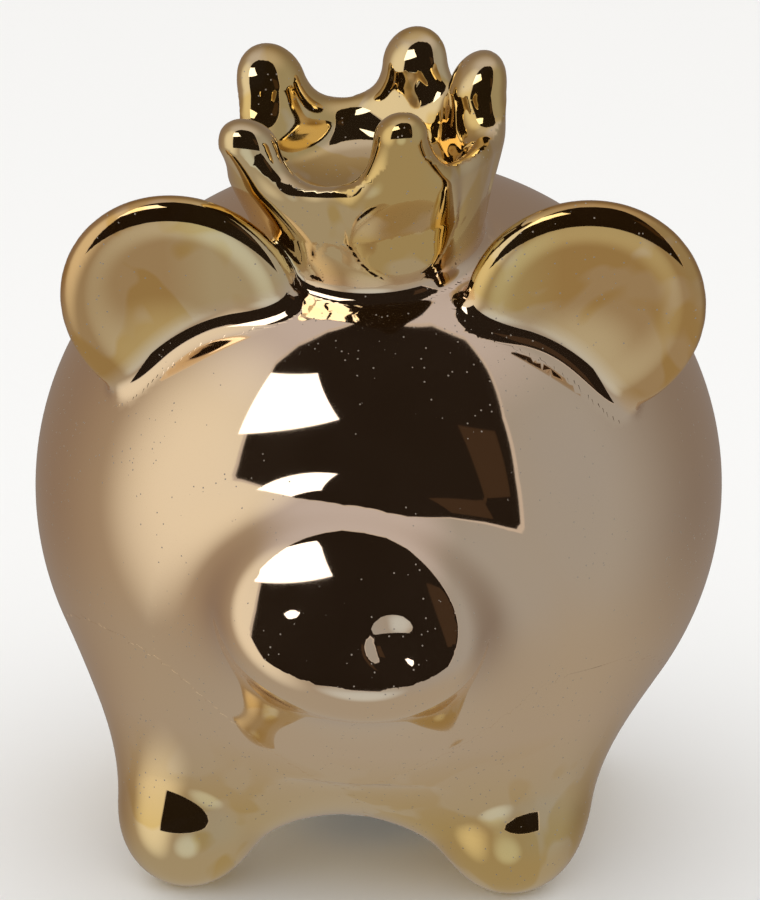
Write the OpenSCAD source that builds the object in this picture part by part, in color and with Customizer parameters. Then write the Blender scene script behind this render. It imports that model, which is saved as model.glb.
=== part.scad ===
// Pig money bank in glazed ceramic, with a five-pronged crown and two cupped ears.
// It stands on four bulb feet. A soft plug in the belly comes out to empty it.
// Frame: millimetres, +Z up, the snout faces -Y, the origin is on the floor under the middle of the box.

/* [Body] */
// Width of the egg-shaped body, side to side
body_w = 127; // [120:1:134]
// Length of the body, brow to rump
body_l = 134; // [128:1:140]
// Height of the body
body_h = 121; // [116:1:126]
// Gap between the floor and the lowest point of the belly
belly_gap = 5.3; // [4.5:0.1:8]
// Thickness of the ceramic wall
wall_t = 4.5; // [3.5:0.5:6]

/* [Coin slot] */
// Length of the slot, along the spine
slot_l = 35; // [30:1:38]
// Width of the slot
slot_w = 5; // [4:0.5:6]
// Distance of the slot's front end behind the body's middle
slot_back = 3; // [0:1:6]

/* [Belly hole and plug] */
// Radius of the hole in the belly
hole_r = 15; // [13:0.5:16]
// Radial clearance of the plug's neck in the hole
plug_fit = 0.05; // [0.02:0.01:0.1]
// Radius of the plug's flange
flange_r = 18; // [17.5:0.5:18.5]
// Thickness of the plug's flange
flange_t = 2.2; // [1.5:0.1:2.4]
// Height of the land that the flange closes on
land_z = 8.5; // [8.4:0.1:9.5]
// Length of the hole's wall
collar_l = 7; // [5:0.5:9]
// Air gap between the flange and the land
seat_gap = 0.3; // [0.2:0.1:0.5]

/* [Feet] */
// Sideways distance of each foot's centre from the middle
foot_x = 30.4; // [28:0.2:32]
// Distance of the front feet ahead of the middle
front_foot_y = 34.3; // [32:0.1:36]
// Distance of the rear feet behind the middle
rear_foot_y = 32; // [30:0.5:35]
// Radius of the bulb foot
foot_r = 12; // [11:0.2:13]
// Depth of the flat worn off the bottom of each bulb
foot_flat = 0.6; // [0.4:0.1:1]
// Radius of the leg where it runs into the belly
leg_r = 16.5; // [15:0.5:17]
// Sideways offset of the front pair of feet, to the pig's right
front_shift = 3.4; // [0:0.2:4]

/* [Snout] */
// Half the width of the snout
snout_rx = 20.5; // [18:0.5:22]
// Half the height of the snout
snout_rz = 16; // [14:0.5:18]
// Position of the middle of the snout's domed face
snout_pos = [-0.5, -78.5, 65];
// Upward tilt of the snout, in degrees
snout_tilt = 18.5; // [14:0.5:22]
// Turn of the snout's oval about its own axis, in degrees
snout_roll = 6; // [0:1:10]
// Radius of the dome of the face
dome_r = 42; // [34:1:60]
// Radius of the ball that presses each nostril
nostril_ball = 9.5; // [8:0.5:11]
// Depth of the nostril on the pig's left
nostril_d = 2; // [1.5:0.1:2.5]
// Depth of the nostril on the pig's right, which is only a shallow touch
nostril_shallow = 0.6; // [0.4:0.1:1]

/* [Ears] */
// Upper root of the ear on the brow, sideways
ear_ax = 19.1; // [18:0.1:20]
// Upper root of the ear on the brow, height
ear_az = 110.6; // [109:0.1:112]
// Lower root of the ear on the cheek, sideways
ear_bx = 48.3; // [47:0.1:50]
// Lower root of the ear on the cheek, height
ear_bz = 89.5; // [88:0.1:91]
// Lean of the ear away from square to the brow, backwards, in degrees
ear_lean = 21.2; // [15:0.1:26]
// Half the width of the ear
ear_ru = 20.4; // [19:0.1:22]
// Reach of the ear out from the line between its roots
ear_reach = 30.1; // [28:0.1:32]
// Distance of the ear's middle out from that line
ear_mid = 7.1; // [6:0.1:8]
// Offset of the ear's middle towards the crown
ear_in = 3.9; // [3:0.1:4.5]
// Radius of the ear's round rim
ear_rim = 3.8; // [3:0.1:4.2]
// Offset of both ears to the pig's left
ear_shift = 2.9; // [0:0.1:3.2]

/* [Crown] */
// Position of the middle of the crown's base
crown_pos = [0.8, -26, 114.6];
// Lean of the crown towards the snout, in degrees
crown_fwd = 10.6; // [6:0.2:14]
// Lean of the crown to the pig's right, in degrees
crown_side = 5.0; // [0:0.5:7]
// Mean radius of the crown's wall at its base
crown_r0 = 16; // [15:0.2:16.4]
// Mean radius of the crown's wall at its tips
crown_r1 = 24.8; // [23:0.2:26]
// Thickness of the crown's wall
crown_t = 4.4; // [3.6:0.2:5]
// Height of the prongs above the base
crown_h = 34; // [32:0.5:36]
// Height of the valleys between the prongs
valley_h = 20.5; // [18:0.5:22]
// Height of the floor inside the crown
crown_floor = 6; // [5:0.5:8]
// Direction of each prong round the crown, in degrees
prong_at = [-68.8, 19.7, 67.0, 134.6, 220.2];
// Extra height of each prong
prong_up = [1.0, 0, 0.5, 0.7, -0.4];
// Half the width of each prong's round tip
tip_r = 5.2; // [4.8:0.1:5.6]
// Thickness of each prong's round tip as a share of its width
tip_flat = 0.64; // [0.55:0.01:0.75]

/* [Tail] */
// Radius of the curl
tail_r = 6; // [5:0.5:8]
// Radius of the tail's round section
tail_t = 2.8; // [2.2:0.1:3.2]
// Height of the middle of the curl
tail_z = 74; // [70:1:80]

/* [Place] */
// Distance of the body's middle behind the middle of the whole object's box
back_y = 4.8; // [4:0.1:6]

/* [Hidden] */
$fn = 96;
ra = body_w / 2;
rb = body_l / 2;
rc = body_h / 2;
zc = belly_gap + rc;
bore_top = land_z + collar_l;
prongs = len(prong_at);
gap_turn = [for (i = [0:prongs - 1]) (i == prongs - 1 ? 360 : 0) + prong_at[(i + 1) % prongs] - prong_at[i]];

// Frame of the left ear: M on the brow, u down along the root, v out along the ear, w forwards
function brow(x, z) = [x, -rb * sqrt(1 - pow(x / ra, 2) - pow((z - zc) / rc, 2)), z];
function unit(v) = v / norm(v);
root_a = brow(ear_ax, ear_az);
root_b = brow(ear_bx, ear_bz);
mid = (root_a + root_b) / 2;
eu = unit(root_b - root_a);
steep = [mid.x / (ra * ra), mid.y / (rb * rb), (mid.z - zc) / (rc * rc)];
en = unit(steep - (steep * eu) * eu);
em = brow(mid.x, mid.z);
et = cross(en, eu);
ev = cos(ear_lean) * en + sin(ear_lean) * (et.y < 0 ? -et : et);
ew_raw = cross(eu, ev);
ew = ew_raw.y > 0 ? -ew_raw : ew_raw;
ear_frame = [
    [eu.x, ev.x, ew.x, em.x],
    [eu.y, ev.y, ew.y, em.y],
    [eu.z, ev.z, ew.z, em.z],
    [0, 0, 0, 1]
];

// Everything is drawn about the middle of the body, then moved back
module placed() {
    translate([0, back_y, 0]) children();
}

// An egg of three radii, standing where the body stands
module egg(x, y, z) {
    translate([0, 0, zc]) scale([x / z, y / z, 1]) sphere(r = z);
}

module body_shell() {
    color([0.93, 0.83, 0.70]) placed() difference() {
        egg(ra, rb, rc);
        difference() {
            egg(ra - wall_t, rb - wall_t, rc - wall_t);
            cylinder(r = hole_r + 5, h = bore_top);
        }
        translate([0, 0, -1]) cylinder(r = flange_r + 1, h = land_z + 1);
        cylinder(r = hole_r, h = bore_top + 1);
        coin_slot();
    }
}

// Cutter for the slot, with round ends
module coin_slot() {
    translate([0, slot_back + slot_w / 2, zc]) {
        cylinder(r = slot_w / 2, h = rc + 5);
        translate([0, slot_l - slot_w, 0]) cylinder(r = slot_w / 2, h = rc + 5);
        translate([-slot_w / 2, 0, 0]) cube([slot_w, slot_l - slot_w, rc + 5]);
    }
}

// Oval with a domed face, tilted up, its inner end cut to the body
module snout() {
    oval = snout_rz / snout_rx;
    color([0.93, 0.83, 0.70]) placed() difference() {
        translate(snout_pos) rotate([90 - snout_tilt, 0, 0]) rotate([0, 0, -snout_roll]) difference() {
            intersection() {
                translate([0, 0, -30]) scale([1, oval, 1]) cylinder(r = snout_rx, h = 31);
                translate([0, 0, -dome_r]) sphere(r = dome_r);
                scale([1, oval, 1]) face_edge();
            }
            nostril(8.3, -3.2, nostril_d);
            nostril(-9.5, 0.5, nostril_shallow);
        }
        egg(ra, rb, rc);
    }
}

// Flattened ball that softens the edge of the face, carried down as a cylinder
module face_edge() {
    r = snout_rx * 1.08;
    deep = 13;
    translate([0, 0, 1.2 - deep]) {
        scale([r / deep, r / deep, 1]) sphere(r = deep);
        translate([0, 0, -25]) cylinder(r = r, h = 25);
    }
}

// Round dimple of depth d in the snout's face, at x and y from its middle
module nostril(x, y, d) {
    face = sqrt(pow(dome_r, 2) - x * x - y * y) - dome_r;
    lean = asin(norm([x, y]) / dome_r);
    translate([x, y, face]) rotate([0, 0, atan2(y, x)]) rotate([0, lean, 0])
        translate([0, 0, nostril_ball - d]) sphere(r = nostril_ball);
}

// Bulb foot with a leg that widens and leans into the belly
module leg(x, y) {
    top = [x * 0.86, y * 0.85, 36];
    foot = [x, y, foot_r - foot_flat];
    run = top - foot;
    color([0.93, 0.83, 0.70]) placed() difference() {
        union() {
            translate(foot) sphere(r = foot_r);
            translate(foot) rotate([0, acos(run.z / norm(run)), atan2(run.y, run.x)])
                cylinder(r1 = foot_r, r2 = leg_r, h = norm(run));
        }
        translate([x - 40, y - 40, -20]) cube([80, 80, 20]);
        egg(ra, rb, rc);
    }
}

module front_left_leg() { leg(foot_x - front_shift, -front_foot_y); }
module front_right_leg() { leg(-foot_x - front_shift, -front_foot_y); }
module rear_left_leg() { leg(foot_x, rear_foot_y); }
module rear_right_leg() { leg(-foot_x, rear_foot_y); }

// Dished oval with a round rim, in the ear's own frame
module ear_cup() {
    rv = ear_reach - ear_mid;
    translate([-ear_in, ear_mid, 0]) scale([1, rv / ear_ru, 1]) {
        difference() {
            scale([1, 1, 7 / ear_ru]) sphere(r = ear_ru - 1);
            cylinder(r = ear_ru - ear_rim, h = 20);
        }
        rotate_extrude() translate([ear_ru - ear_rim, 0]) circle(r = ear_rim);
    }
}

module ear() {
    color([0.93, 0.83, 0.70]) placed() difference() {
        children();
        egg(ra, rb, rc);
        crown_place() translate([0, 0, -12]) cylinder(r = crown_r0 + crown_t / 2 + 0.6, h = 34);
    }
}

module left_ear() {
    ear() translate([ear_shift, 0, 0]) multmatrix(ear_frame) ear_cup();
}

module right_ear() {
    ear() translate([ear_shift, 0, 0]) mirror([1, 0, 0]) multmatrix(ear_frame) ear_cup();
}

module crown_place() {
    translate(crown_pos) rotate([crown_fwd, 0, 0]) rotate([0, -crown_side, 0]) children();
}

// Mean radius of the crown's wall at height z
function wall_r(z) = crown_r0 + (crown_r1 - crown_r0) * (0.83 * z / crown_h + 0.17 * z * abs(z) / pow(crown_h, 2));

module crown() {
    top = crown_h - tip_r;
    steps = 14;
    outside = [for (i = [0:steps]) let(z = -10 + (top + 10) * i / steps) [wall_r(z) + crown_t / 2, z]];
    inside = [for (i = [steps:-1:0]) let(z = crown_floor + (top - crown_floor) * i / steps) [wall_r(z) - crown_t / 2, z]];
    color([0.93, 0.83, 0.70]) placed() difference() {
        crown_place() {
            difference() {
                rotate_extrude() polygon(concat(outside, inside, [[0, crown_floor], [0, -10]]));
                for (i = [0:prongs - 1]) valley(i);
            }
            for (i = [0:prongs - 1]) rotate([0, 0, prong_at[i]])
                translate([wall_r(top), 0, top + prong_up[i]]) rotate([0, 16, 0])
                    scale([tip_flat, 1, 1.1]) sphere(r = tip_r);
        }
        egg(ra, rb, rc);
    }
}

// Cutter for the round-bottomed valley after prong i
module valley(i) {
    half = gap_turn[i] / 2;
    r = wall_r(valley_h + 8) * sin(half) - tip_r * 0.72;
    rotate([0, 0, prong_at[i] + half]) translate([crown_r0 / 2, 0, valley_h + r]) rotate([90, 0, 90]) {
        cylinder(r = r, h = 60);
        linear_extrude(height = 60) polygon([[-r * 0.9, 0], [r * 0.9, 0], [r + 2, 30], [-r - 2, 30]]);
    }
}

// Curl that lies flat on the rump
module tail() {
    color([0.93, 0.83, 0.70]) placed() difference() {
        translate([0, rb + 0.6, tail_z]) rotate([90, 0, 0]) {
            rotate_extrude(angle = 290) translate([tail_r, 0]) circle(r = tail_t);
            translate([tail_r, 0, 0]) sphere(r = tail_t + 0.5);
            rotate([0, 0, 290]) translate([tail_r, 0, 0]) sphere(r = tail_t + 0.5);
        }
        egg(ra, rb, rc);
    }
}

// Soft plug: flange, hollow neck and a tab to pull it by
module stopper() {
    flange_top = land_z - seat_gap;
    neck_r = hole_r - plug_fit;
    color([0.86, 0.86, 0.84]) placed() difference() {
        union() {
            translate([0, 0, flange_top - flange_t]) cylinder(r = flange_r, h = flange_t);
            translate([0, 0, flange_top - 1]) cylinder(r = neck_r, h = collar_l);
            translate([0, 0, flange_top + collar_l - 1]) cylinder(r1 = neck_r, r2 = neck_r - 1.5, h = 2);
            translate([-6, -1.5, flange_top - flange_t - 2.5]) cube([12, 3, 3]);
        }
        translate([0, 0, flange_top + 1]) cylinder(r = neck_r - 2.5, h = collar_l + 5);
    }
}

body_shell();
snout();
front_left_leg();
front_right_leg();
rear_left_leg();
rear_right_leg();
left_ear();
right_ear();
crown();
tail();
stopper();
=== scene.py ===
"""Looks of the gilt ceramic pig bank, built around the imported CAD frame.

The skin is one smooth distance field: egg, snout, legs, ears, crown and tail are blended as wet clay is.
Each luted piece is then meshed on its own, from the part of the skin where it stands proud of what
is under it.
Lengths in the field are millimetres about the middle of the body; meshes are written in the frame's metres.
"""

import math

import bpy
import numpy as np
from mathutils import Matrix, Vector


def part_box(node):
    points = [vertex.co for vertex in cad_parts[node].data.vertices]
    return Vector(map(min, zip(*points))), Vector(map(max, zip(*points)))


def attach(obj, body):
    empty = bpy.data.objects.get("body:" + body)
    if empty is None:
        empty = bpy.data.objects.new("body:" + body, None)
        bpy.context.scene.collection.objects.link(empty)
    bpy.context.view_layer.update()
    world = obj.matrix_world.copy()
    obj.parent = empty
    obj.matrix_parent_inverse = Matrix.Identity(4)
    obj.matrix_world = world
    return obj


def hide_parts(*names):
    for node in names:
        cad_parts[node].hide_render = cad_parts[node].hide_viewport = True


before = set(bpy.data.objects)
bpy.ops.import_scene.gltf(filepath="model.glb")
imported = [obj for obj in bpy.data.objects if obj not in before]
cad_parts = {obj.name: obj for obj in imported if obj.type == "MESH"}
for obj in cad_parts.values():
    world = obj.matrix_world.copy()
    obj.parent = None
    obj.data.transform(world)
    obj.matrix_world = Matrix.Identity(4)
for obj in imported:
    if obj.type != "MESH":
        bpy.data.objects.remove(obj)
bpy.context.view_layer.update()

MM = 0.001

# ---------------------------------------------------------------- driving sizes, mm

# the hollow egg, whose outline comes from the frame
egg_low, egg_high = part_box("body_shell")
RX = (egg_high.x - egg_low.x) / 2 / MM
RY = (egg_high.y - egg_low.y) / 2 / MM
RZ = 60.5
MID_Y = (egg_high.y + egg_low.y) / 2 / MM
ZC = egg_high.z / MM - RZ
WALL = 4.5
EGG = np.array([RX, RY, RZ])
EGG_MID = np.array([0.0, 0.0, ZC])

# coin slot, belly hole, the recess round it and the collar that holds the plug
SLOT_MID_Y, SLOT_L, SLOT_W = 20.5, 35.0, 5.0
HOLE_R, RECESS_R, LAND_Z = 15.0, 19.0, 8.5
COLLAR_R, BORE_TOP = 20.0, 15.5
BORE_OVER = 6.0

# legs: middle of the foot, the ball at its toe, and how far the leg leans in on its way up
FOOT_X, FRONT_Y, REAR_Y, FOOT_Z, FRONT_SHIFT = 30.4, -34.3, 32.0, 11.5, -3.4
TOE_R, TOE_FWD, TOE_IN, TOE_Z = 10.2, 2.3, 1.5, 10.7
LEG_R, LEG_BACK, LEG_IN, LEG_LEAN, LEG_UP, LEG_SPREAD = 11.0, 2.0, 4.7, 0.15, 16.0, 1.02
LEG_CLEAR, LEG_FADE = 1.5, 9.0

# snout: middle of its face, tilt and roll in degrees, half sizes, and the radii of its domed face
SNOUT_AT = np.array([-0.5, -79.6, 65.2])
SNOUT_TILT, SNOUT_ROLL = 27.5, -10.0
SNOUT_RX, SNOUT_RZ, SNOUT_EDGE, SNOUT_LONG = 22.0, 16.2, 4.0, 36.0
DOME = np.array([37.0, 31.0, 30.0])
# x and y on the face, radius of the ball that presses it, depth, softness of its edge
NOSTRILS = [(8.3, -3.2, 8.5, 2.1, 1.2), (-9.8, 0.0, 6.0, 0.35, 0.5)]

# ears: the two ends of the root as x and z on the brow, lean in degrees, and the lobe with its dished face
EAR_ROOT_A, EAR_ROOT_B = (19.1, 110.6), (48.3, 89.5)
EAR_LEAN, EAR_RU, EAR_REACH, EAR_MID, EAR_IN = 21.2, 20.4, 28.6, 7.1, 3.9
EAR_DEEP, EAR_BACK, EAR_FACE, EAR_DISH, EAR_LIP, EAR_SHIFT = 7.0, 3.0, 6.0, 4.2, 4.0, 2.9
EAR_DISH_END, EAR_FACE_SCALE = 1.2, 0.9

# crown: foot, leans in degrees, wall, bowl inside, and five prongs by bearing, height, offset and tip radius
CROWN_AT = np.array([0.8, -26.0, 114.6])
CROWN_FWD, CROWN_SIDE = 10.6, -5.0
CROWN_R0, CROWN_R1, CROWN_H, VALLEY_H = 16.0, 24.8, 33.3, 21.3
CROWN_WALL, CROWN_CONE, CROWN_ROOT, CROWN_BEYOND = 2.3, 0.83, 8.0, 0.3
BOWL_Z, BOWL_RISE, BOWL_SCALE = 12.5, 8.5, 0.8
PRONG_AT = [-68.8, 19.7, 67.0, 134.6, 220.2]
PRONG_UP = [1.4, 0.1, 0.5, 0.7, -0.4]
PRONG_OUT = [-0.1, -1.6, -1.0, 0.7, 0.2]
PRONG_TIP = [4.6, 6.2, 5.9, 6.5, 4.9]
PRONG_BASE, PRONG_THIN, PRONG_THICK, PRONG_ROOT = 8.6, 1.2, 4.9, 10.0
PRONG_EASE, PRONG_CRISP = 15.0, 0.1

# tail: radius of the curl, half thickness, height, and its first bearing and sweep in degrees
TAIL_R, TAIL_T, TAIL_Z, TAIL_START, TAIL_SWEEP = 6.6, 2.856, 74.0, -15.0, 300.0
# by how much it tightens, climbs off the rump and tapers on its way, and where it starts above the rump
TAIL_TIGHTEN, TAIL_CLIMB, TAIL_TAPER, TAIL_OFF = 1.4, 0.9, 0.952, 0.2

# how softly each part flows in to what is under it
BLEND_SNOUT, BLEND_LEG, BLEND_TOE = 15.0, 22.5, 4.5
BLEND_EAR, BLEND_PRONG, BLEND_BOWL, BLEND_CROWN, BLEND_TAIL = 2.8, 6.0, 4.0, 2.2, 2.5
SOFT_COLLAR, SOFT_CUT, SOFT_RIM, SOFT_GROUND = 2.5, 2.4, 1.0, 0.6

# plug: flange, ring under the flange, neck with a tapered mouth, hollow cup and pull tab
PLUG_TOP = LAND_Z - 0.3
FLANGE_R, FLANGE_T, FLANGE_EDGE = 18.0, 2.2, 1.05
RING_R, RING_T, RING_DROP = 12.5, 0.55, 2.0
NECK_R, NECK_UP, NECK_DOWN = 14.9, 7.6, 0.6
MOUTH_H, MOUTH_FADE, MOUTH_IN = 1.6, 1.8, 1.5
CUP_R, CUP_FLOOR = 12.5, 1.0
TAB_L, TAB_H, TAB_T, TAB_EDGE, TAB_DROP = 11.5, 3.3, 2.9, 0.85, 3.1
SOFT_RING, SOFT_MOUTH, SOFT_NECK, SOFT_CUP, SOFT_LIP, SOFT_TAB = 0.5, 0.5, 0.4, 1.2, 0.6, 0.7

# ---------------------------------------------------------------- field tools


def length(p):
    """Length of each row."""
    return np.sqrt((p * p).sum(-1))


def smin(a, b, k):
    """The smaller of two distances, rounded over where they differ by less than k."""
    h = np.maximum(k - np.abs(a - b), 0) / k
    return np.minimum(a, b) - h * h * k / 4


def smax(a, b, k):
    """The larger of two distances, rounded in the same way."""
    return -smin(-a, -b, k)


def smooth(t):
    """Eases from 0 to 1 as t does."""
    t = np.clip(t, 0, 1)
    return t * t * (3 - 2 * t)


def turn(axis, degrees):
    """Rotation matrix about one axis."""
    c, s = math.cos(math.radians(degrees)), math.sin(math.radians(degrees))
    rows = {"x": [[1, 0, 0], [0, c, -s], [0, s, c]], "y": [[c, 0, s], [0, 1, 0], [-s, 0, c]],
            "z": [[c, -s, 0], [s, c, 0], [0, 0, 1]]}
    return np.array(rows[axis])


def ellipse(q, radii):
    """Distance to an ellipse or ellipsoid, good close to it."""
    k0 = length(q / radii)
    k1 = length(q / (radii * radii))
    return k0 * (k0 - 1) / np.maximum(k1, 1e-9)


def capsule(p, a, b, ra, rb):
    """Distance to a rod with round ends that goes from radius ra at a to rb at b."""
    ab = b - a
    t = np.clip(((p - a) @ ab) / (ab @ ab), 0, 1)
    return length(p - a - t[:, None] * ab) - (ra + (rb - ra) * t)


def cylinder_z(p, r, top):
    """Distance to an upright rod of radius r that ends at a height."""
    return np.maximum(np.hypot(p[:, 0], p[:, 1]) - r, p[:, 2] - top)


# ---------------------------------------------------------------- the pieces as fields


def egg_out(p):
    """The outside of the egg."""
    return ellipse(p - EGG_MID, EGG)


def chamber(p):
    """The hollow inside the wall, less the collar round the belly hole."""
    return smax(ellipse(p - EGG_MID, EGG - WALL), -cylinder_z(p, COLLAR_R, BORE_TOP), SOFT_COLLAR)


def with_cuts(d, p):
    """Takes the recess, the belly hole and the coin slot out of a skin."""
    d = smax(d, -cylinder_z(p, RECESS_R, LAND_Z), SOFT_CUT)
    d = smax(d, -cylinder_z(p, HOLE_R, BORE_TOP + BORE_OVER), SOFT_CUT)
    run = np.maximum(np.abs(p[:, 1] - SLOT_MID_Y) - (SLOT_L - SLOT_W) / 2, 0)
    slot = np.maximum(np.hypot(p[:, 0], run) - SLOT_W / 2, ZC - p[:, 2])
    return smax(d, -slot, SOFT_CUT)


SNOUT_TURN = turn("x", 90 - SNOUT_TILT) @ turn("z", SNOUT_ROLL)


def dimple(q, x, y, r, depth):
    """How far q is inside the ball that presses a nostril at x, y on the dome."""
    face = np.array([x, y, DOME[2] * math.sqrt(1 - (x / DOME[0]) ** 2 - (y / DOME[1]) ** 2)])
    out = face / DOME ** 2
    middle = face - np.array([0, 0, DOME[2]]) + out / np.linalg.norm(out) * (r - depth)
    return r - length(q - middle)


def snout(p):
    """An oval rod with a rounded rim, a domed face and two pressed nostrils."""
    q = (p - SNOUT_AT) @ SNOUT_TURN
    side = ellipse(q[:, :2], np.array([SNOUT_RX, SNOUT_RZ]) - SNOUT_EDGE)
    dome = ellipse(q + np.array([0, 0, DOME[2]]), DOME) + SNOUT_EDGE
    outside = np.hypot(np.maximum(side, 0), np.maximum(dome, 0))
    d = np.minimum(np.maximum(side, dome), 0) + outside - SNOUT_EDGE
    for x, y, r, depth, soft in NOSTRILS:
        d = smax(d, dimple(q, x, y, r, depth), soft)
    return np.maximum(d, -(q[:, 2] + SNOUT_LONG))


def foot_at(sx, front):
    """Middle of a foot; sx is 1 on the pig's left and -1 on its right."""
    shift = FRONT_SHIFT if front else 0.0
    return np.array([sx * FOOT_X + shift, FRONT_Y if front else REAR_Y, FOOT_Z])


def leg(sx, front):
    """The leg above a foot, leaning in towards the belly."""
    foot = foot_at(sx, front) + np.array([0, LEG_BACK if front else 0, 0])
    top = foot + np.array([-sx * LEG_IN, -foot[1] * LEG_LEAN, LEG_UP])
    return lambda p: capsule(p, foot, top, LEG_R, LEG_R * LEG_SPREAD)


def toe(sx, front):
    """The ball of a foot, set forwards of the leg."""
    ball = foot_at(sx, front) + np.array([-sx * TOE_IN, -TOE_FWD if front else 0, TOE_Z - FOOT_Z])
    return lambda p: length(p - ball) - TOE_R


def brow(x, z):
    """The point on the front of the egg at x and z."""
    return np.array([x, -RY * math.sqrt(1 - (x / RX) ** 2 - ((z - ZC) / RZ) ** 2), z])


def ear_axes():
    """Middle of the ear's root, then the ear's own axes: along the root, out and forwards."""
    a, b = brow(*EAR_ROOT_A), brow(*EAR_ROOT_B)
    middle = (a + b) / 2
    u = (b - a) / np.linalg.norm(b - a)
    n = (middle - EGG_MID) / EGG ** 2
    n = n - (n @ u) * u
    n /= np.linalg.norm(n)
    back = np.cross(n, u)
    back = -back if back[1] < 0 else back
    lean = math.radians(EAR_LEAN)
    v = math.cos(lean) * n + math.sin(lean) * back
    w = np.cross(u, v)
    w = -w if w[1] > 0 else w
    return brow(middle[0], middle[2]), u, v, w


EAR_AT, EAR_U, EAR_V, EAR_W = ear_axes()


def ear(side):
    """A thick round lobe whose front is pressed in to a shallow dish with a soft lip."""
    lobe = np.array([EAR_RU, EAR_REACH - EAR_MID, EAR_DEEP])

    def field(p):
        q = (p - np.array([EAR_SHIFT, 0, 0])) * np.array([side, 1, 1]) - EAR_AT
        own = np.stack([q @ EAR_U + EAR_IN, q @ EAR_V - EAR_MID, q @ EAR_W + EAR_BACK], -1)
        share = np.minimum(length(own[:, :2] / lobe[:2]), EAR_DISH_END)
        face = own[:, 2] - EAR_FACE + EAR_DISH * (1 - share ** 2)
        return smax(ellipse(own, lobe), EAR_FACE_SCALE * face, EAR_LIP)

    return field


CROWN_TURN = turn("x", CROWN_FWD) @ turn("y", CROWN_SIDE)


def crown_ring(z):
    """Radius of the crown's wall at a height above its foot."""
    t = np.clip(z / CROWN_H, -CROWN_BEYOND, 1 + CROWN_BEYOND)
    return CROWN_R0 + (CROWN_R1 - CROWN_R0) * (CROWN_CONE * t + (1 - CROWN_CONE) * t * np.abs(t))


def prong(q, which):
    """A fat rounded finger standing on the crown's wall."""
    a = math.radians(PRONG_AT[which])
    along = q[:, 0] * math.cos(a) + q[:, 1] * math.sin(a)
    across = q[:, 1] * math.cos(a) - q[:, 0] * math.sin(a)
    low, tip = VALLEY_H - PRONG_ROOT, PRONG_TIP[which]
    high = CROWN_H + PRONG_UP[which] - tip
    t = np.clip((q[:, 2] - low) / (high - low), 0, 1)
    wide = PRONG_BASE + (tip - PRONG_BASE) * t
    deep = PRONG_THIN + (PRONG_THICK - PRONG_THIN) * t
    out = crown_ring(np.maximum(q[:, 2], low)) + PRONG_OUT[which] * t
    off = np.stack([across, along - out, q[:, 2] - np.clip(q[:, 2], low, high)], -1)
    return ellipse(off, np.stack([wide, deep, wide], -1))


def crown(p):
    """A flared wall with a rounded rim, a bowl inside it and the prongs on top."""
    q = (p - CROWN_AT) @ CROWN_TURN
    r = np.hypot(q[:, 0], q[:, 1])
    above = q[:, 2] - (VALLEY_H - CROWN_WALL)
    d = np.hypot(np.maximum(above, 0), r - crown_ring(q[:, 2])) - CROWN_WALL
    bowl = np.maximum(q[:, 2] - BOWL_Z - BOWL_RISE * (r / CROWN_R1) ** 2, r - crown_ring(q[:, 2]))
    d = smin(d, BOWL_SCALE * bowl, BLEND_BOWL)
    eased = smooth((q[:, 2] - VALLEY_H) / PRONG_EASE + 1)
    soft = BLEND_PRONG * (PRONG_CRISP + (1 - PRONG_CRISP) * eased)
    for which in range(len(PRONG_AT)):
        d = smin(d, prong(q, which), soft)
    return smax(d, -(q[:, 2] + CROWN_ROOT), SOFT_RIM)


def tail(p):
    """A curl that tapers from its root to its tip, lying on the rump."""
    steps, reach, far, soft, slim = 26, 30.0, 1e3, 0.35, 0.12
    d = np.full(len(p), far)
    near = np.nonzero(length(p - np.array([0, RY, TAIL_Z])) < reach)[0]
    if len(near) == 0:
        return d
    q = p[near]
    spots = []
    for i in range(steps + 1):
        t = i / steps
        a = math.radians(TAIL_START + TAIL_SWEEP * t)
        r = TAIL_R - TAIL_TIGHTEN * t
        place = np.array([-r * math.cos(a), RY + TAIL_OFF + TAIL_CLIMB * t, TAIL_Z + r * math.sin(a)])
        spots.append((place, TAIL_T - TAIL_TAPER * t))
    best = np.full(len(q), far)
    for (a, ra), (b, rb) in zip(spots, spots[1:]):
        best = smin(best, capsule(q, a, b, ra, rb), soft)
    d[near] = best + slim
    return d


LAYERS = [("snout", [(snout, BLEND_SNOUT)])]
for end in ("front", "rear"):
    for side, sign in (("left", 1), ("right", -1)):
        limb = [(leg(sign, end == "front"), BLEND_LEG), (toe(sign, end == "front"), BLEND_TOE)]
        LAYERS.append((f"{end}_{side}_leg", limb))
LAYERS += [("left_ear", [(ear(1), BLEND_EAR)]), ("right_ear", [(ear(-1), BLEND_EAR)])]
LAYERS += [("crown", [(crown, BLEND_CROWN)]), ("tail", [(tail, BLEND_TAIL)])]


def skin(p, count=len(LAYERS)):
    """The blended outside of the egg and its first so many layers, flat where it would pass the ground.

    The legs' blend fades out round the recess in the belly.
    """
    d = egg_out(p)
    clear = smooth((np.hypot(p[:, 0], p[:, 1]) - RECESS_R - LEG_CLEAR) / LEG_FADE)
    for name, parts in LAYERS[:count]:
        share = clear if name.endswith("leg") else 1.0
        for field, blend in parts:
            other = field(p)
            plain = np.minimum(d, other)
            d = plain + (smin(d, other, blend) - plain) * share
    return smax(d, -p[:, 2], SOFT_GROUND)


def whole(p):
    """The bank with all its ceramic parts."""
    return smax(with_cuts(skin(p), p), -chamber(p), SOFT_RIM)


def shell(p):
    """The hollow egg alone."""
    return smax(with_cuts(egg_out(p), p), -chamber(p), SOFT_RIM)


# ---------------------------------------------------------------- meshing


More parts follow.
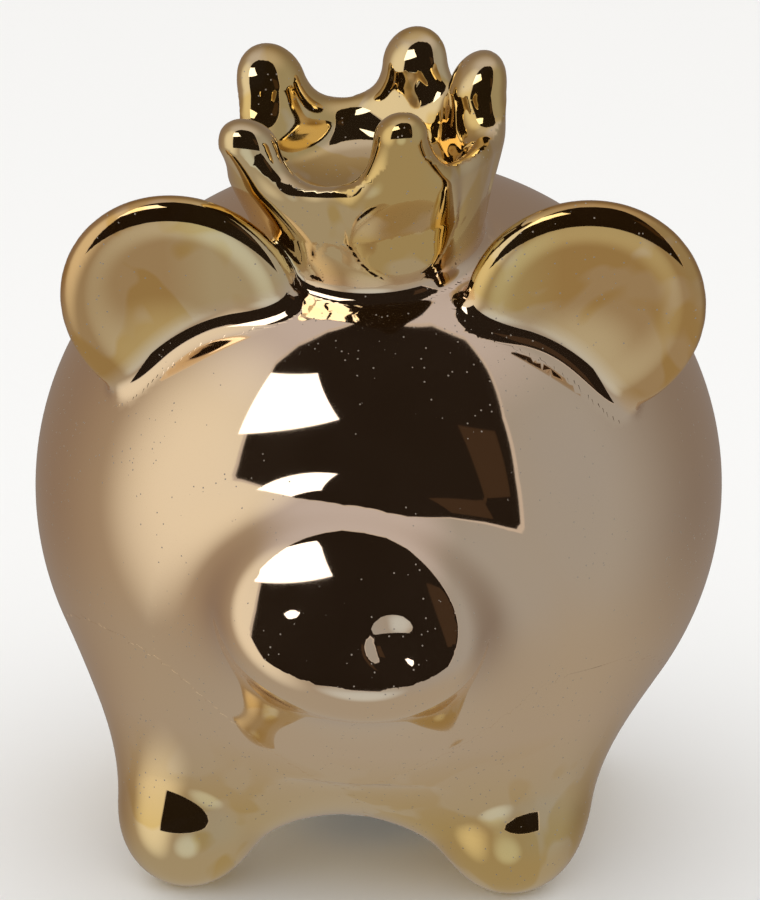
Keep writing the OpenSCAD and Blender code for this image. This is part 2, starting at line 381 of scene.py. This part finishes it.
def outward(points, own):
    """Normals of the whole skin where the points lie on it, and of their own surface where covered."""
    near, blend = 0.15, 0.3
    covered = np.clip((np.abs(whole(points)) - near) / blend, 0, 1)[:, None]
    g = gradient(whole, points) * (1 - covered) + gradient(own, points) * covered
    return g / np.maximum(length(g), 1e-9)[:, None]


def gradient(field, p, step=0.04):
    """Slope of a field at each point."""
    g = np.empty_like(p)
    for i in range(3):
        shift = np.zeros(3)
        shift[i] = step
        g[:, i] = (field(p + shift) - field(p - shift)) / (2 * step)
    return g


def sample(field, axes):
    """The field on a grid, worked out only in blocks that the surface may cross.

    Other blocks hold a filler with the sign of the field at their middle.
    """
    shape = tuple(len(a) for a in axes)
    block, slack, margin, filler = 8, 1.7, 2.5, 50.0
    starts = [np.arange(0, n, block) for n in shape]
    ends = [np.minimum(s + block, n) - 1 for s, n in zip(starts, shape)]
    mids = [(a[s] + a[e]) / 2 for a, s, e in zip(axes, starts, ends)]
    halves = [(a[e] - a[s]) / 2 for a, s, e in zip(axes, starts, ends)]
    m = np.stack(np.meshgrid(*mids, indexing="ij"), -1).reshape(-1, 3)
    h = length(np.stack(np.meshgrid(*halves, indexing="ij"), -1).reshape(-1, 3))
    rough = field(m)
    counts = tuple(len(s) for s in starts)
    own_block = np.ix_(*[np.minimum(np.arange(n) // block, c - 1) for n, c in zip(shape, counts)])
    mask = (np.abs(rough) < slack * h + margin).reshape(counts)[own_block]
    values = np.where(rough.reshape(counts)[own_block] < 0, -filler, filler)
    grid = np.stack(np.meshgrid(*axes, indexing="ij"), -1)
    values[mask] = field(grid[mask])
    return values


def surface(field, axes, rounds=3, longest=0.8, flattest=0.05):
    """Surface nets on the grid, each point then moved onto the field's zero. Gives points and quads.

    A point moves no further than longest in a round, and a slope's square is taken as flattest or more.
    """
    values = sample(field, axes)
    cells = tuple(n - 1 for n in values.shape)
    total = np.zeros((int(np.prod(cells)), 4))
    edges = []
    for axis in range(3):
        u, v = (axis + 1) % 3, (axis + 2) % 3
        low = np.take(values, range(values.shape[axis] - 1), axis)
        high = np.take(values, range(1, values.shape[axis]), axis)
        at = np.argwhere((low < 0) != (high < 0))
        a, b = low[tuple(at.T)], high[tuple(at.T)]
        point = np.stack([axes[i][at[:, i]] for i in range(3)], -1)
        point[:, axis] += (axes[axis][at[:, axis] + 1] - point[:, axis]) * a / (a - b)
        corners = []
        for du, dv in ((-1, -1), (0, -1), (0, 0), (-1, 0)):
            cell = at.copy()
            cell[:, u] += du
            cell[:, v] += dv
            good = ((cell >= 0) & (cell < np.array(cells))).all(1)
            index = np.where(good, np.ravel_multi_index(np.clip(cell, 0, np.array(cells) - 1).T, cells), -1)
            for i in range(3):
                total[:, i] += np.bincount(index[good], point[good, i], len(total))
            total[:, 3] += np.bincount(index[good], minlength=len(total))
            corners.append(index)
        quads = np.stack(corners, -1)
        quads = np.where((a < 0)[:, None], quads, quads[:, ::-1])
        edges.append(quads[(quads >= 0).all(1)])
    quads = np.concatenate(edges)
    used = np.nonzero(total[:, 3] > 0)[0]
    number = np.full(len(total), -1)
    number[used] = np.arange(len(used))
    points = total[used, :3] / total[used, 3:]
    for _ in range(rounds):
        g = gradient(field, points)
        move = field(points)[:, None] * g / np.maximum((g * g).sum(-1), flattest)[:, None]
        far = np.maximum(length(move), 1e-9)[:, None]
        points = points - move * np.minimum(1, longest / far)
    return points, number[quads]


def border(quads):
    """Directed edges that only one quad uses."""
    e = np.concatenate([quads[:, [i, (i + 1) % 4]] for i in range(4)])
    key = np.sort(e, 1)
    key = key[:, 0] * (quads.max() + 1) + key[:, 1]
    _, first, count = np.unique(key, return_index=True, return_counts=True)
    return e[first[count == 1]]


def patch(points, quads, keep, thickness, own):
    """Closes the kept part of a surface with an inner side and a rim.

    Quads at a point where the rim would touch itself are dropped first.
    """
    quads = quads[keep[quads].all(1)]
    while True:
        rim = border(quads)
        touch = np.bincount(rim.ravel(), minlength=len(points))
        pinched = touch > 2
        if not pinched.any():
            break
        quads = quads[~pinched[quads].any(1)]
    used = np.unique(quads)
    number = np.full(len(points), -1)
    number[used] = np.arange(len(used))
    points, quads, rim = points[used], number[quads], number[rim]
    normals = outward(points, own)
    n = len(points)
    inner = points - normals * thickness
    walls = np.stack([rim[:, 1], rim[:, 0], rim[:, 0] + n, rim[:, 1] + n], -1)
    faces = np.concatenate([quads, quads[:, ::-1] + n, walls])
    return np.concatenate([points, inner]), faces, np.concatenate([normals, -normals])


def make_object(name, points, faces, normals, material):
    """A smooth object from quads, with its normals given at the points."""
    mesh = bpy.data.meshes.new(name)
    placed = (points + np.array([0, MID_Y, 0])) * MM
    mesh.vertices.add(len(placed))
    mesh.vertices.foreach_set("co", placed.astype(np.float32).ravel())
    mesh.loops.add(faces.size)
    mesh.loops.foreach_set("vertex_index", faces.astype(np.int32).ravel())
    mesh.polygons.add(len(faces))
    mesh.polygons.foreach_set("loop_start", np.arange(0, faces.size, 4, dtype=np.int32))
    mesh.update(calc_edges=True)
    mesh.validate()
    mesh.polygons.foreach_set("use_smooth", np.ones(len(mesh.polygons), dtype=bool))
    mesh.normals_split_custom_set_from_vertices(normals.astype(np.float32))
    mesh.materials.append(material)
    obj = bpy.data.objects.new(name, mesh)
    bpy.context.scene.collection.objects.link(obj)
    return obj


def spaced(low, high, step):
    """Even grid lines from low to high, no further apart than a step."""
    return np.linspace(low, high, int(math.ceil((high - low) / step)) + 1)


def graded(parts):
    """Grid lines from stretches of (low, high, step)."""
    lines = [spaced(*part) for part in parts]
    return np.unique(np.round(np.concatenate(lines), 6))


# ---------------------------------------------------------------- materials


def new_material(name):
    """An empty material with one Principled shader."""
    material = bpy.data.materials.new(name)
    material.use_nodes = True
    tree = material.node_tree
    tree.nodes.clear()
    out = tree.nodes.new("ShaderNodeOutputMaterial")
    shader = tree.nodes.new("ShaderNodeBsdfPrincipled")
    tree.links.new(shader.outputs[0], out.inputs[0])
    return material, tree, shader


def node(tree, kind, inputs=None, **settings):
    """Adds a shader node. Inputs are sockets to link or plain values."""
    made = tree.nodes.new(kind)
    for key, value in settings.items():
        setattr(made, key, value)
    for key, value in (inputs or {}).items():
        if isinstance(value, bpy.types.NodeSocket):
            tree.links.new(value, made.inputs[key])
        else:
            made.inputs[key].default_value = value
    return made


def calc(tree, operation, *values):
    """Result of a sum on one or two numbers."""
    return node(tree, "ShaderNodeMath", dict(enumerate(values)), operation=operation).outputs[0]


def calc_vector(tree, operation, *values, out="Vector"):
    """Result of a sum on one or two vectors."""
    return node(tree, "ShaderNodeVectorMath", dict(enumerate(values)), operation=operation).outputs[out]


def rescaled(tree, value, marks, onto=(0.0, 1.0), ease="LINEAR"):
    """A value that goes from one end of onto to the other between two marks."""
    inputs = {"Value": value, "From Min": marks[0], "From Max": marks[1]}
    inputs.update({"To Min": onto[0], "To Max": onto[1]})
    return node(tree, "ShaderNodeMapRange", inputs, interpolation_type=ease).outputs[0]


def mixed(tree, share, first, second, kind="MIX"):
    """Colour that goes from the first to the second as the share goes from 0 to 1."""
    inputs = {"Fac": share, "Color1": first, "Color2": second}
    return node(tree, "ShaderNodeMixRGB", inputs, blend_type=kind).outputs[0]


def cloud(tree, where, scale, detail, **more):
    """A cloudy pattern round 0.5."""
    inputs = {"Vector": where, "Scale": scale, "Detail": detail, **more}
    return node(tree, "ShaderNodeTexNoise", inputs).outputs["Fac"]


def add_bump(tree, shader, height, strength, distance):
    """Fine relief on a shader."""
    inputs = {"Height": height, "Strength": strength, "Distance": distance}
    bump = node(tree, "ShaderNodeBump", inputs)
    tree.links.new(bump.outputs[0], shader.inputs["Normal"])


def ramp(tree, source, stops):
    """Colours between marks."""
    made = node(tree, "ShaderNodeValToRGB", {0: source})
    ends = made.color_ramp.elements
    while len(ends) < len(stops):
        ends.new(0.5)
    for end, (at, color) in zip(ends, stops):
        end.position = at
        end.color = (*color, 1)
    return made.outputs[0]


# colours at marks of a cloudy pattern
ROSE_GILT = [(0.3, (0.86, 0.69, 0.51)), (0.7, (0.83, 0.68, 0.53))]
# deeper gold painted on the crown, the ears and the feet: a painted reflection of gold in gold
PAINTED_GOLD_REFLECTION = [(0.48, (0.80, 0.65, 0.40)), (0.52, (0.75, 0.56, 0.25))]
PLUG_GREY = [(0.3, (0.70, 0.70, 0.67)), (0.7, (0.76, 0.76, 0.73))]
# painted reflection: a deeper gold laid over the ears
EAR_PAINTED_REFLECTION = (0.88, 0.76, 0.66, 1)
DUST = (0.24, 0.20, 0.16, 1)

# where the painted gold reflection fades in: distance from the middle in egg radii, then heights and a width
# in metres
PROUD_OF_EGG = (1.02, 1.07)
HEAD_HEIGHT = (0.080, 0.090)
FOOT_HEIGHT = (0.034, 0.014)
EAR_ASIDE = (0.026, 0.034)


def gilt_tint_and_painted_reflection(tree, where):
    """Rose gilt on the body, and deeper gold painted on the ears, the crown and the feet as a painted
    reflection of gold in gold.
    """
    split = node(tree, "ShaderNodeSeparateXYZ", {0: where})
    from_middle = calc_vector(tree, "SUBTRACT", where, (0, MID_Y * MM, ZC * MM))
    in_radii = calc_vector(tree, "DIVIDE", from_middle, (RX * MM, RY * MM, RZ * MM))
    # share of the painted gold reflection: proud of the egg up on the head, and low down on the feet
    stands = rescaled(tree, calc_vector(tree, "LENGTH", in_radii, out="Value"), PROUD_OF_EGG)
    on_head = calc(tree, "MULTIPLY", stands, rescaled(tree, split.outputs[2], HEAD_HEIGHT))
    ends = calc(tree, "MAXIMUM", on_head, rescaled(tree, split.outputs[2], FOOT_HEIGHT))
    plain = ramp(tree, cloud(tree, where, 26.0, 3.0), ROSE_GILT)
    # painted reflection: the deeper gold where the gilt mirrors its own gold
    deep = ramp(tree, cloud(tree, where, 55.0, 2.0, Distortion=0.6), PAINTED_GOLD_REFLECTION)
    # the ears' extra deeper gold is a painted reflection
    aside = rescaled(tree, calc(tree, "ABSOLUTE", split.outputs[0]), EAR_ASIDE)
    ear_reflection_share = calc(tree, "MULTIPLY", aside, on_head)
    return mixed(tree, ear_reflection_share, mixed(tree, ends, plain, deep), EAR_PAINTED_REFLECTION, kind="MULTIPLY")


def dust_share(tree, where):
    """1 on small dust specks and 0 elsewhere."""
    speck_scale, speck_size, patchy_over = 760.0, 0.12, 0.50
    speck = node(tree, "ShaderNodeTexVoronoi", {"Vector": where, "Scale": speck_scale})
    small = calc(tree, "LESS_THAN", speck.outputs["Distance"], speck_size)
    patchy = calc(tree, "GREATER_THAN", cloud(tree, where, 30.0, 6.0, Roughness=0.8), patchy_over)
    return calc(tree, "MULTIPLY", small, patchy)


def gilt_material():
    """Mirror-like gilt with painted deeper gold reflections, dust specks, a little haze and slight swells.
    """
    material, tree, shader = new_material("gilt_glaze")
    where = node(tree, "ShaderNodeTexCoord").outputs["Object"]
    dust = dust_share(tree, where)
    tree.links.new(mixed(tree, dust, gilt_tint_and_painted_reflection(tree, where), DUST), shader.inputs["Base Color"])
    tree.links.new(calc(tree, "SUBTRACT", 1.0, dust), shader.inputs["Metallic"])
    haze = rescaled(tree, cloud(tree, where, 60.0, 4.0), (0.35, 0.7), onto=(0.03, 0.06))
    tree.links.new(haze, shader.inputs["Roughness"])
    add_bump(tree, shader, cloud(tree, where, 70.0, 1.0), 1.0, 0.00002)
    return material


def rubber_material():
    """Pale soft rubber with a fine grain."""
    material, tree, shader = new_material("plug_rubber")
    where = node(tree, "ShaderNodeTexCoord").outputs["Object"]
    tree.links.new(ramp(tree, cloud(tree, where, 90.0, 5.0), PLUG_GREY), shader.inputs["Base Color"])
    shader.inputs["Roughness"].default_value = 0.55
    add_bump(tree, shader, cloud(tree, where, 1800.0, 2.0), 0.3, 0.00008)
    return material


GILT = gilt_material()
RUBBER = rubber_material()

# ---------------------------------------------------------------- the pieces as meshes

COARSE = 1.0
FINE, WIDE = 0.95 * COARSE, 1.4 * COARSE
# grid lines of the egg: ends of the whole grid, and of the stretches with a belly hole or a slot
GRID_X, GRID_Y, GRID_LOW, GRID_HIGH = 66.0, 70.0, 2.0, 129.0
BELLY_HALF, BELLY_HIGH, SLOT_END, SLOT_LOW = 23.0, 20.0, 42.0, 108.0


def build_body():
    """The hollow egg, with closer grid lines round the belly hole and the coin slot."""
    across = [(-GRID_X, -BELLY_HALF, WIDE), (-BELLY_HALF, BELLY_HALF, FINE), (BELLY_HALF, GRID_X, WIDE)]
    along = [(-GRID_Y, -BELLY_HALF, WIDE), (-BELLY_HALF, SLOT_END, FINE), (SLOT_END, GRID_Y, WIDE)]
    upwards = [(GRID_LOW, BELLY_HIGH, FINE), (BELLY_HIGH, SLOT_LOW, WIDE), (SLOT_LOW, GRID_HIGH, FINE)]
    points, quads = surface(shell, [graded(across), graded(along), graded(upwards)])
    return make_object("bank_body", points, quads, outward(points, shell), GILT)


# a grid's low corner, high corner and step, then the thickness of the piece inside the skin
BOXES = {
    "snout": ((-42, -86, 14), (42, -34, 104), 0.9, 1.2),
    "crown": ((-32, -66, 104), (32, 8, 157), 0.72, 1.0),
    "tail": ((-13, 52, 60), (13, 76, 88), 0.5, 0.8),
    "left_ear": ((6, -70, 76), (68, -14, 132), 0.85, 1.1),
    "right_ear": ((-66, -70, 76), (-4, -14, 132), 0.85, 1.1),
}
# height over the layers under it at which a piece begins
PROUD = 0.007


def leg_box(name):
    """Grid of a leg, which reaches a little past the middle of the belly."""
    inner, outer, far, low_z, high_z, step, thickness = 24, 66, 74, -1.5, 66, 1.1, 1.2
    sx = 1 if "left" in name else -1
    sy = -1 if "front" in name else 1
    low = (min(-inner, sx * outer), min(-inner, sy * far), low_z)
    high = (max(inner, sx * outer), max(inner, sy * far), high_z)
    return low, high, step, thickness


def build_layer(index):
    """One luted piece, from the part of the skin that stands proud of the layers under it."""
    name = LAYERS[index][0]
    low, high, step, thick = BOXES[name] if name in BOXES else leg_box(name)
    axes = [spaced(a, b, step * COARSE) for a, b in zip(low, high)]

    def own(p):
        return skin(p, index + 1)

    points, quads = surface(own, axes)
    keep = skin(points, index) > PROUD
    return make_object("bank_" + name, *patch(points, quads, keep, thick, own), GILT)


def plug_field(p):
    """Flange with a rolled edge and a raised ring, a hollow neck with a tapered mouth, and a tab to pull."""
    r = np.hypot(p[:, 0], p[:, 1])
    up = p[:, 2] - PLUG_TOP
    flange_run = np.maximum(r - FLANGE_R + FLANGE_EDGE, 0)
    flange_up = np.maximum(np.abs(up + FLANGE_T / 2) - FLANGE_T / 2 + FLANGE_EDGE, 0)
    flange = np.hypot(flange_run, flange_up) - FLANGE_EDGE
    ring = np.hypot(r - RING_R, up + RING_DROP) - RING_T
    flange = smin(flange, ring, SOFT_RING)
    mouth = np.clip((up - NECK_UP + MOUTH_H) / MOUTH_FADE, 0, 1) ** 2
    neck = smax(r - NECK_R + MOUTH_IN * mouth, np.maximum(up - NECK_UP, -NECK_DOWN - up), SOFT_MOUTH)
    cup = smax(r - CUP_R, CUP_FLOOR - up, SOFT_CUP)
    d = smax(smin(flange, neck, SOFT_NECK), -cup, SOFT_LIP)
    tab_run = np.maximum(np.abs(p[:, 0]) - TAB_L / 2 + TAB_EDGE, 0)
    tab_up = np.maximum(np.abs(up + TAB_DROP) - TAB_H / 2 + TAB_EDGE, 0)
    tab_side = np.maximum(np.abs(p[:, 1]) - TAB_T / 2 + TAB_EDGE, 0)
    tab = np.hypot(np.hypot(tab_run, tab_up), tab_side) - TAB_EDGE
    return smin(d, tab, SOFT_TAB)


def build_plug():
    """The soft plug as one closed mesh."""
    step, half, low, high = 0.42 * COARSE, 19, 2.5, 17.5
    axes = [spaced(-half, half, step), spaced(-half, half, step), spaced(low, high, step)]
    points, quads = surface(plug_field, axes)
    normals = gradient(plug_field, points)
    normals /= np.maximum(length(normals), 1e-9)[:, None]
    return make_object("belly_plug", points, quads, normals, RUBBER)


def finish_piece(obj, body, slot, *nodes):
    """Joins a piece to its moving body and hides the CAD nodes that it stands for; the slot is not used."""
    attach(obj, body)
    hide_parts(*nodes)


finish_piece(build_body(), "bank", "gilt_glaze", "body_shell")
for order, layer in enumerate(LAYERS):
    finish_piece(build_layer(order), "bank", "gilt_glaze", layer[0])
finish_piece(build_plug(), "plug", "plug", "stopper")

# ---------------------------------------------------------------- studio


def direction(az, el):
    """Unit vector from the object; az is measured from the snout's side towards +X."""
    a, e = math.radians(az), math.radians(el)
    return Vector((math.sin(a) * math.cos(e), -math.cos(a) * math.cos(e), math.sin(e)))


STUDIO_MID = Vector((0, MID_Y * MM, 0.076))


def emitter(name, color, strength=1.0):
    """A plain glowing material."""
    material = bpy.data.materials.new(name)
    material.use_nodes = True
    tree = material.node_tree
    tree.nodes.clear()
    out = node(tree, "ShaderNodeOutputMaterial")
    light = node(tree, "ShaderNodeEmission", {"Color": (*color, 1), "Strength": strength})
    tree.links.new(light.outputs[0], out.inputs[0])
    return material


def panel(name, corners, distance, material):
    """A curved card seen in the glaze. Corners are directions, in order round it."""
    rings, pieces = 10, 8

    def place(at):
        return STUDIO_MID + direction(*at) * distance

    outline = []
    for a, b in zip(corners, corners[1:] + corners[:1]):
        outline += [np.array(a) + (np.array(b) - np.array(a)) * i / pieces for i in range(pieces)]
    middle = sum(outline) / len(outline)
    count = len(outline)
    points, faces = [place(middle)], []
    for ring in range(1, rings + 1):
        points += [place(middle + (at - middle) * ring / rings) for at in outline]
    for i in range(count):
        j = (i + 1) % count
        faces.append((0, 1 + i, 1 + j))
        for ring in range(rings - 1):
            near, far = 1 + ring * count, 1 + (ring + 1) * count
            faces.append((near + i, far + i, far + j, near + j))
    mesh = bpy.data.meshes.new(name)
    mesh.from_pydata(points, [], faces)
    mesh.materials.append(material)
    obj = bpy.data.objects.new(name, mesh)
    bpy.context.scene.collection.objects.link(obj)
    obj.visible_camera = False
    obj.visible_shadow = False
    obj.visible_diffuse = False


def build_floor():
    """A pale floor, left out of the reflections in the glaze."""
    mesh = bpy.data.meshes.new("floor")
    half = 12.0
    corners = [(-half, -half, 0), (half, -half, 0), (half, half, 0), (-half, half, 0)]
    mesh.from_pydata(corners, [], [(0, 1, 2, 3)])
    material, tree, shader = new_material("pale_floor")
    shader.inputs["Base Color"].default_value = (0.84, 0.84, 0.83, 1)
    shader.inputs["Roughness"].default_value = 0.7
    path = node(tree, "ShaderNodeLightPath")
    clear = node(tree, "ShaderNodeBsdfTransparent")
    inputs = {0: path.outputs["Is Glossy Ray"], 1: shader.outputs[0], 2: clear.outputs[0]}
    floor_shader = node(tree, "ShaderNodeMixShader", inputs)
    tree.links.new(floor_shader.outputs[0], tree.nodes["Material Output"].inputs[0])
    mesh.materials.append(material)
    obj = bpy.data.objects.new("floor", mesh)
    bpy.context.scene.collection.objects.link(obj)


build_floor()

# cards: a dark room in front of the tent, its pale hem, a brown card at the right and a softbox at the left
DARK = emitter("dark_room", (0.018, 0.012, 0.008))
EDGE = emitter("tent_edge", (0.62, 0.55, 0.50))
CARD = emitter("brown_card", (0.055, 0.032, 0.018))
LAMP = emitter("softbox", (1.0, 0.98, 0.95), 2.2)

# corners as azimuth and elevation in degrees; the further cards stand behind the nearer ones
OPENING = [(-46.0, -9.0), (49.0, -9.0), (50.0, 16.0), (53.0, 35.0), (59.0, 50.0), (62.0, 61.0)]
OPENING += [(52.0, 70.0), (20.0, 75.0), (-20.0, 75.0), (-38.0, 69.0), (-48.0, 61.0)]
OPENING += [(-51.0, 53.0), (-47.0, 42.0), (-45.0, 20.0)]
SIDE_CARD = [(38.5, 12.0), (47.0, 11.0), (48.0, 32.0), (35.0, 37.0)]
SOFTBOX = [(-49.0, 29.0), (-12.0, 41.0), (-28.0, 55.0), (-50.0, 50.0)]
HEM_WIDER, HEM_TALLER = 1.03, 1.02
HEM_FAR, OPENING_FAR, CARD_FAR, SOFTBOX_FAR = 0.62, 0.60, 0.58, 0.56

panel("tent_opening", OPENING, OPENING_FAR, DARK)
panel("tent_hem", [(az * HEM_WIDER, el * HEM_TALLER) for az, el in OPENING], HEM_FAR, EDGE)
panel("side_card", SIDE_CARD, CARD_FAR, CARD)
panel("softbox_main", SOFTBOX, SOFTBOX_FAR, LAMP)

# colours of the tent, from its left side over its middle to its right side
TENT_FRONT = [(0.0, (0.44, 0.36, 0.27)), (0.5, (0.40, 0.36, 0.31)), (1.0, (0.41, 0.40, 0.39))]
TENT_REAR = [(0.0, (0.30, 0.22, 0.16)), (0.5, (0.26, 0.21, 0.18)), (1.0, (0.26, 0.22, 0.19))]
TENT_COVE = (0.43, 0.385, 0.32, 1)
TOP_FRONT = (0.60, 0.56, 0.58, 1)
TOP_REAR = (0.31, 0.24, 0.17, 1)
WHITE = (1.0, 1.0, 1.0, 1)
FILL = 1.25

# soft glows on the tent: azimuth, elevation, cosine where they end, squash from top to bottom, colour
GLOWS = [(-62, 6, 0.73, 0.6, (0.46, 0.47, 0.42, 1)), (0, -26, 0.90, 1.0, (0.2, 0.28, 0.34, 1))]


def tent_color(tree, way):
    """Colour of the tent in each direction."""
    soft = "SMOOTHSTEP"
    xyz = node(tree, "ShaderNodeSeparateXYZ", {0: way})
    side = rescaled(tree, xyz.outputs[0], (-0.9, 0.9))
    rear = rescaled(tree, xyz.outputs[1], (-0.1, 0.75), ease=soft)
    down = rescaled(tree, xyz.outputs[2], (-0.2, -0.85), ease=soft)
    up = rescaled(tree, xyz.outputs[2], (0.55, 0.95), ease=soft)
    wall = mixed(tree, rear, ramp(tree, side, TENT_FRONT), ramp(tree, side, TENT_REAR))
    top = mixed(tree, rear, TOP_FRONT, TOP_REAR)
    lit = mixed(tree, up, mixed(tree, down, wall, TENT_COVE), top)
    for az, el, edge, squash, color in GLOWS:
        squashed = calc_vector(tree, "MULTIPLY", way, (1.0, 1.0, squash))
        level = calc_vector(tree, "NORMALIZE", squashed)
        near = calc_vector(tree, "DOT_PRODUCT", level, direction(az, el), out="Value")
        lit = mixed(tree, rescaled(tree, near, (edge, 1.0), ease=soft), lit, color, kind="ADD")
    return lit


def build_world():
    """The tent as reflections show it, and plain white for the camera and for soft light."""
    world = bpy.data.worlds.new("tent")
    world.use_nodes = True
    bpy.context.scene.world = world
    tree = world.node_tree
    tree.nodes.clear()
    way = node(tree, "ShaderNodeTexCoord").outputs["Generated"]
    path = node(tree, "ShaderNodeLightPath")
    plain = calc(tree, "MAXIMUM", path.outputs["Is Camera Ray"], path.outputs["Is Diffuse Ray"])
    seen = mixed(tree, plain, tent_color(tree, way), WHITE)
    strength = rescaled(tree, path.outputs["Is Diffuse Ray"], (0.0, 1.0), onto=(1.0, FILL))
    background = node(tree, "ShaderNodeBackground", {"Color": seen, "Strength": strength})
    out = node(tree, "ShaderNodeOutputWorld")
    tree.links.new(background.outputs[0], out.inputs[0])


build_world()

# ---------------------------------------------------------------- camera

CAMERA_AZ, CAMERA_EL, CAMERA_FAR = 3.27, 15.0, 0.700
SENSOR, LENS, CLIP_START = 36.0, 151.2, 0.01
SHIFT_X, SHIFT_Y = 0.00126, -0.02377


def build_camera():
    """A long lens a little above level, almost straight in front of the snout."""
    data = bpy.data.cameras.new("camera")
    data.sensor_width = SENSOR
    data.lens = LENS
    data.shift_x = SHIFT_X
    data.shift_y = SHIFT_Y
    data.clip_start = CLIP_START
    camera = bpy.data.objects.new("camera", data)
    camera.location = STUDIO_MID + direction(CAMERA_AZ, CAMERA_EL) * CAMERA_FAR
    camera.rotation_euler = (STUDIO_MID - camera.location).to_track_quat("-Z", "Y").to_euler()
    bpy.context.scene.collection.objects.link(camera)
    bpy.context.scene.camera = camera


build_camera()
bpy.context.scene.view_settings.view_transform = "Standard"
